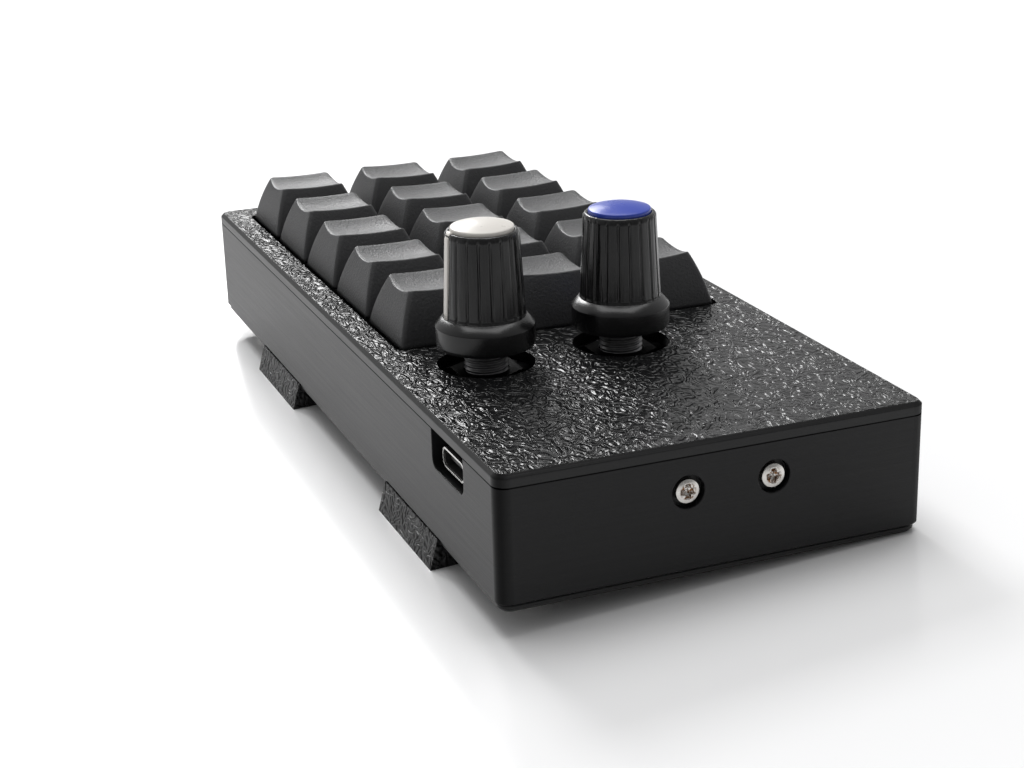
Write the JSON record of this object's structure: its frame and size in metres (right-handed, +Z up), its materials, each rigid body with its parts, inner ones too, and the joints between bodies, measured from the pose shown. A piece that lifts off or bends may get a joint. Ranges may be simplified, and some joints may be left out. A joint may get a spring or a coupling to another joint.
{
  "type": "macro keypad with knobs",
  "caption": "Desk keypad with three rows of dished keys and two ribbed push knobs, in a low printed case that leans forward on rear feet.",
  "frame": {"origin": "on the surface the keypad stands on, under the middle of its bounding box", "axes": "+X along the case from the knob end to the far keys, +Y to the back with the USB socket and the feet, +Z up; the case leans forward by 3.2 degrees"},
  "size_m": [0.1571, 0.0696, 0.0456],
  "materials": {
    "body_print": "printed, satin, fine layer lines",
    "grainy_print": "printed on a textured bed, grainy, slightly shiny",
    "keycap_grey": "moulded, fine matte",
    "stems": "moulded",
    "housings": "moulded",
    "knob_black": "moulded, semi gloss",
    "cap_white": "moulded, off-white, soft gloss",
    "cap_blue": "moulded, blue, soft gloss",
    "plate": "printed",
    "board": "solder mask",
    "small_board": "solder mask",
    "chips": "moulded",
    "bright_steel": "plated",
    "screw_steel": "plated, bright",
    "spring_steel": "wire",
    "bushing_metal": "die-cast, turned thread",
    "insert_brass": "knurled"
  },
  "bodies": {
    "root": {"case_body": "body_print", "bottom_plate": "grainy_print", "top_cover": "grainy_print", "foot_near": "grainy_print", "foot_far": "grainy_print", "switch_plate": "plate", "circuit_board": "board", "controller_board": "small_board", "controller_chips": "chips", "header_strips": "housings", "usb_shell": "bright_steel", "usb_tongue": "housings", "end_screws": "screw_steel", "flat_screws": "screw_steel", "threaded_inserts": "insert_brass", "switch_bases": "housings", "switch_tops": "housings", "key_springs": "spring_steel", "encoder_bases": "housings", "encoder_bushings": "bushing_metal", "encoder_washers": "bright_steel", "encoder_nuts": "bright_steel"},
    "key_back_1": {"keycap_back_1": "keycap_grey", "stem_back_1": "stems"},
    "key_back_2": {"keycap_back_2": "keycap_grey", "stem_back_2": "stems"},
    "key_back_3": {"keycap_back_3": "keycap_grey", "stem_back_3": "stems"},
    "key_back_4": {"keycap_back_4": "keycap_grey", "stem_back_4": "stems"},
    "key_back_5": {"keycap_back_5": "keycap_grey", "stem_back_5": "stems"},
    "key_middle_1": {"keycap_middle_1": "keycap_grey", "stem_middle_1": "stems"},
    "key_middle_2": {"keycap_middle_2": "keycap_grey", "stem_middle_2": "stems"},
    "key_middle_3": {"keycap_middle_3": "keycap_grey", "stem_middle_3": "stems"},
    "key_middle_4": {"keycap_middle_4": "keycap_grey", "stem_middle_4": "stems"},
    "key_middle_5": {"keycap_middle_5": "keycap_grey", "stem_middle_5": "stems"},
    "key_front_1": {"keycap_front_1": "keycap_grey", "stem_front_1": "stems"},
    "key_front_2": {"keycap_front_2": "keycap_grey", "stem_front_2": "stems"},
    "key_front_3": {"keycap_front_3": "keycap_grey", "stem_front_3": "stems"},
    "key_front_4": {"keycap_front_4": "keycap_grey", "stem_front_4": "stems"},
    "key_front_5": {"keycap_front_5": "keycap_grey", "stem_front_5": "stems"},
    "rotor_1": {"encoder_rotor_1": "housings"},
    "dial_1": {"encoder_shaft_1": "bushing_metal", "knob_1": "knob_black", "knob_cap_1": "cap_white"},
    "rotor_2": {"encoder_rotor_2": "housings"},
    "dial_2": {"encoder_shaft_2": "bushing_metal", "knob_2": "knob_black", "knob_cap_2": "cap_blue"}
  },
  "joints": [
    {"name": "key_back_1_press", "type": "slide", "parent": "root", "child": "key_back_1", "axis": [0, 0.0556, -0.9985], "range_m": [0, 0.004], "stiffness_N_per_m": 75, "springref_m": -0.004, "deforming": ["key_springs"]},
    {"name": "key_back_2_press", "type": "slide", "parent": "root", "child": "key_back_2", "axis": [0, 0.0556, -0.9985], "range_m": [0, 0.004], "stiffness_N_per_m": 75, "springref_m": -0.004, "deforming": ["key_springs"]},
    {"name": "key_back_3_press", "type": "slide", "parent": "root", "child": "key_back_3", "axis": [0, 0.0556, -0.9985], "range_m": [0, 0.004], "stiffness_N_per_m": 75, "springref_m": -0.004, "deforming": ["key_springs"]},
    {"name": "key_back_4_press", "type": "slide", "parent": "root", "child": "key_back_4", "axis": [0, 0.0556, -0.9985], "range_m": [0, 0.004], "stiffness_N_per_m": 75, "springref_m": -0.004, "deforming": ["key_springs"]},
    {"name": "key_back_5_press", "type": "slide", "parent": "root", "child": "key_back_5", "axis": [0, 0.0556, -0.9985], "range_m": [0, 0.004], "stiffness_N_per_m": 75, "springref_m": -0.004, "deforming": ["key_springs"]},
    {"name": "key_middle_1_press", "type": "slide", "parent": "root", "child": "key_middle_1", "axis": [0, 0.0556, -0.9985], "range_m": [0, 0.004], "stiffness_N_per_m": 75, "springref_m": -0.004, "deforming": ["key_springs"]},
    {"name": "key_middle_2_press", "type": "slide", "parent": "root", "child": "key_middle_2", "axis": [0, 0.0556, -0.9985], "range_m": [0, 0.004], "stiffness_N_per_m": 75, "springref_m": -0.004, "deforming": ["key_springs"]},
    {"name": "key_middle_3_press", "type": "slide", "parent": "root", "child": "key_middle_3", "axis": [0, 0.0556, -0.9985], "range_m": [0, 0.004], "stiffness_N_per_m": 75, "springref_m": -0.004, "deforming": ["key_springs"]},
    {"name": "key_middle_4_press", "type": "slide", "parent": "root", "child": "key_middle_4", "axis": [0, 0.0556, -0.9985], "range_m": [0, 0.004], "stiffness_N_per_m": 75, "springref_m": -0.004, "deforming": ["key_springs"]},
    {"name": "key_middle_5_press", "type": "slide", "parent": "root", "child": "key_middle_5", "axis": [0, 0.0556, -0.9985], "range_m": [0, 0.004], "stiffness_N_per_m": 75, "springref_m": -0.004, "deforming": ["key_springs"]},
    {"name": "key_front_1_press", "type": "slide", "parent": "root", "child": "key_front_1", "axis": [0, 0.0556, -0.9985], "range_m": [0, 0.004], "stiffness_N_per_m": 75, "springref_m": -0.004, "deforming": ["key_springs"]},
    {"name": "key_front_2_press", "type": "slide", "parent": "root", "child": "key_front_2", "axis": [0, 0.0556, -0.9985], "range_m": [0, 0.004], "stiffness_N_per_m": 75, "springref_m": -0.004, "deforming": ["key_springs"]},
    {"name": "key_front_3_press", "type": "slide", "parent": "root", "child": "key_front_3", "axis": [0, 0.0556, -0.9985], "range_m": [0, 0.004], "stiffness_N_per_m": 75, "springref_m": -0.004, "deforming": ["key_springs"]},
    {"name": "key_front_4_press", "type": "slide", "parent": "root", "child": "key_front_4", "axis": [0, 0.0556, -0.9985], "range_m": [0, 0.004], "stiffness_N_per_m": 75, "springref_m": -0.004, "deforming": ["key_springs"]},
    {"name": "key_front_5_press", "type": "slide", "parent": "root", "child": "key_front_5", "axis": [0, 0.0556, -0.9985], "range_m": [0, 0.004], "stiffness_N_per_m": 75, "springref_m": -0.004, "deforming": ["key_springs"]},
    {"name": "knob_1_turn", "type": "hinge", "parent": "root", "child": "rotor_1", "pos_m": [-0.034, 0.0169, 0.01498], "axis": [0, -0.0556, 0.9985], "continuous": true},
    {"name": "knob_1_push", "type": "slide", "parent": "rotor_1", "child": "dial_1", "axis": [0, 0.0556, -0.9985], "range_m": [0, 0.0005], "stiffness_N_per_m": 3000, "springref_m": -0.0005},
    {"name": "knob_2_turn", "type": "hinge", "parent": "root", "child": "rotor_2", "pos_m": [-0.034, -0.00607, 0.0137], "axis": [0, -0.0556, 0.9985], "continuous": true},
    {"name": "knob_2_push", "type": "slide", "parent": "rotor_2", "child": "dial_2", "axis": [0, 0.0556, -0.9985], "range_m": [0, 0.0005], "stiffness_N_per_m": 3000, "springref_m": -0.0005}
  ]
}
